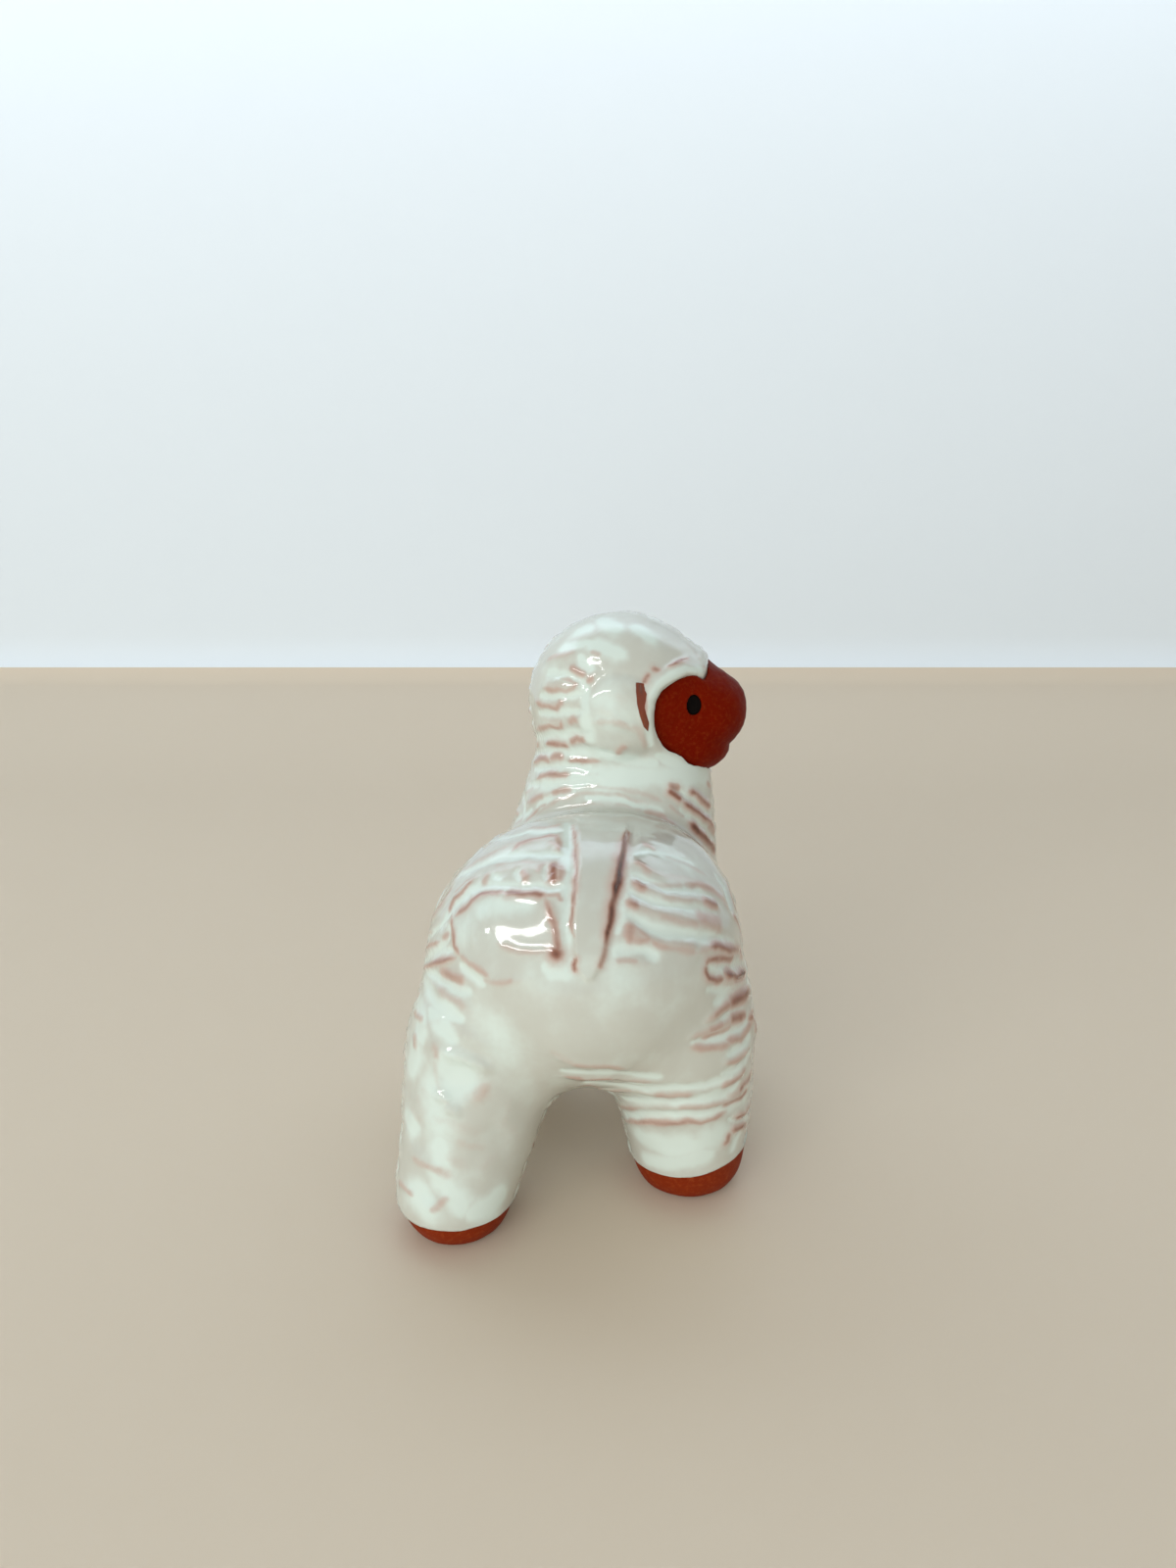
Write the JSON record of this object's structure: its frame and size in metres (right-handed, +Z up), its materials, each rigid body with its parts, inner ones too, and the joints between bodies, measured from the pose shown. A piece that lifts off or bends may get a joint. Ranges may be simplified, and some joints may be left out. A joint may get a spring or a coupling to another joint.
{
  "type": "sheep figurine",
  "caption": "Standing sheep figurine in white-glazed red earthenware, head turned over its right shoulder, bare clay face and feet, carved wool, strip tail.",
  "frame": {"origin": "middle of the bounding box's bottom face, on the surface the feet stand on", "axes": "+Z up, +Y the way the trunk faces, +X the sheep's right, which is the way the turned head looks"},
  "size_m": [0.057, 0.0682, 0.0882],
  "materials": {
    "terracotta": "bare fired red clay, matt",
    "slip": "fired clay slip, matt",
    "white_glaze": "gloss, breaking rust brown on the crests",
    "eye_black": "black underglaze pigment, satin"
  },
  "bodies": {
    "root": {"rear_trunk_shell": "terracotta", "front_trunk_shell": "terracotta", "hind_left_leg": "terracotta", "hind_right_leg": "terracotta", "front_left_leg": "terracotta", "front_right_leg": "terracotta", "neck": "terracotta", "head": "terracotta", "muzzle": "terracotta", "fringe": "terracotta", "right_ear": "terracotta", "left_ear": "terracotta", "tail": "terracotta", "right_eye": "eye_black", "left_eye": "eye_black", "luting_slip": "slip", "glaze_coat": "white_glaze"}
  },
  "joints": []
}
